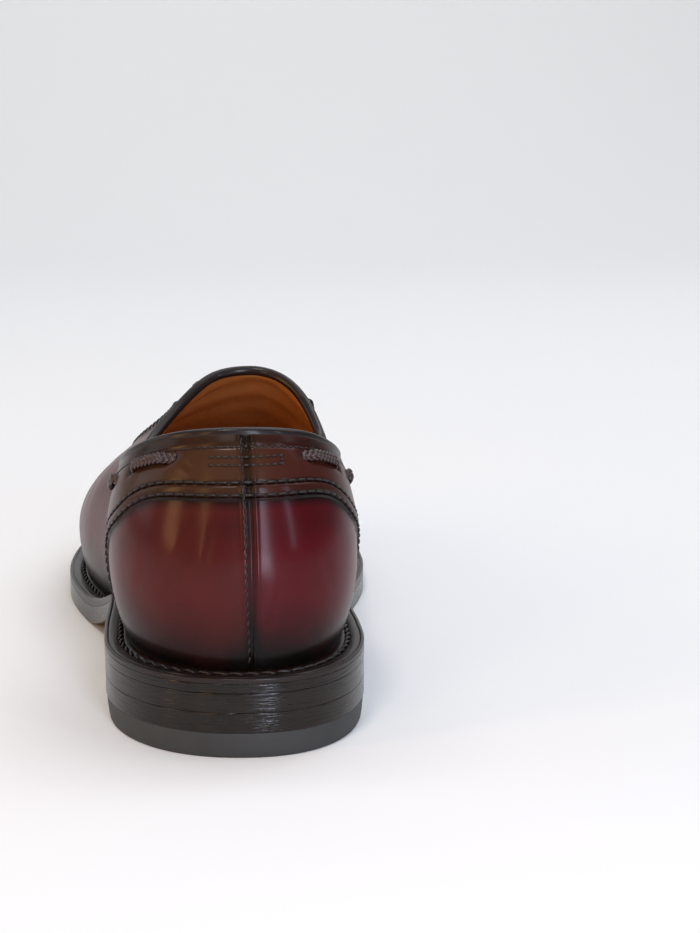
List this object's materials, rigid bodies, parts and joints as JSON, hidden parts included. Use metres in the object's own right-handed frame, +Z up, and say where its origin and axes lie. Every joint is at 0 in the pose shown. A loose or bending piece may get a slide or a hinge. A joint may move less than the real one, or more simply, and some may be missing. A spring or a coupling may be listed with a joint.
{
  "type": "tassel loafer",
  "caption": "Left tassel loafer in polished calf with a raised apron seam, laced collar, leather sole and low stacked heel.",
  "frame": {"origin": "on the floor under the middle of the heel, where the heel's lowest lift rests", "axes": "+Y from heel to toe, +Z up, +X to the inner side of the foot, so the outer side is -X on this left shoe"},
  "size_m": [0.1091, 0.3035, 0.0914],
  "materials": {
    "calf": "burgundy calf, burnished and polished to a gloss",
    "edge_black": "black edge-dressed leather, satin",
    "lining_tan": "tan vegetable-tanned lining, matt",
    "stacked_leather": "dark brown stacked leather, waxed and burnished",
    "sole_leather": "brown sole leather, satin",
    "rubber": "dark matt rubber"
  },
  "bodies": {
    "root": {"outsole": "sole_leather", "top_lift": "rubber", "heel_lift_1": "stacked_leather", "heel_lift_2": "stacked_leather", "welt": "edge_black", "insole": "lining_tan", "upper": "calf", "topline_binding": "edge_black", "lace_rear_outer": "calf", "lace_rear_inner": "calf", "lace_front_outer": "calf", "lace_front_inner": "calf", "lace_throat_outer": "calf", "lace_throat_inner": "calf", "lace_knot": "calf", "lace_end_outer": "calf", "lace_end_inner": "calf", "tassel_outer": "calf", "tassel_inner": "calf"}
  },
  "joints": []
}
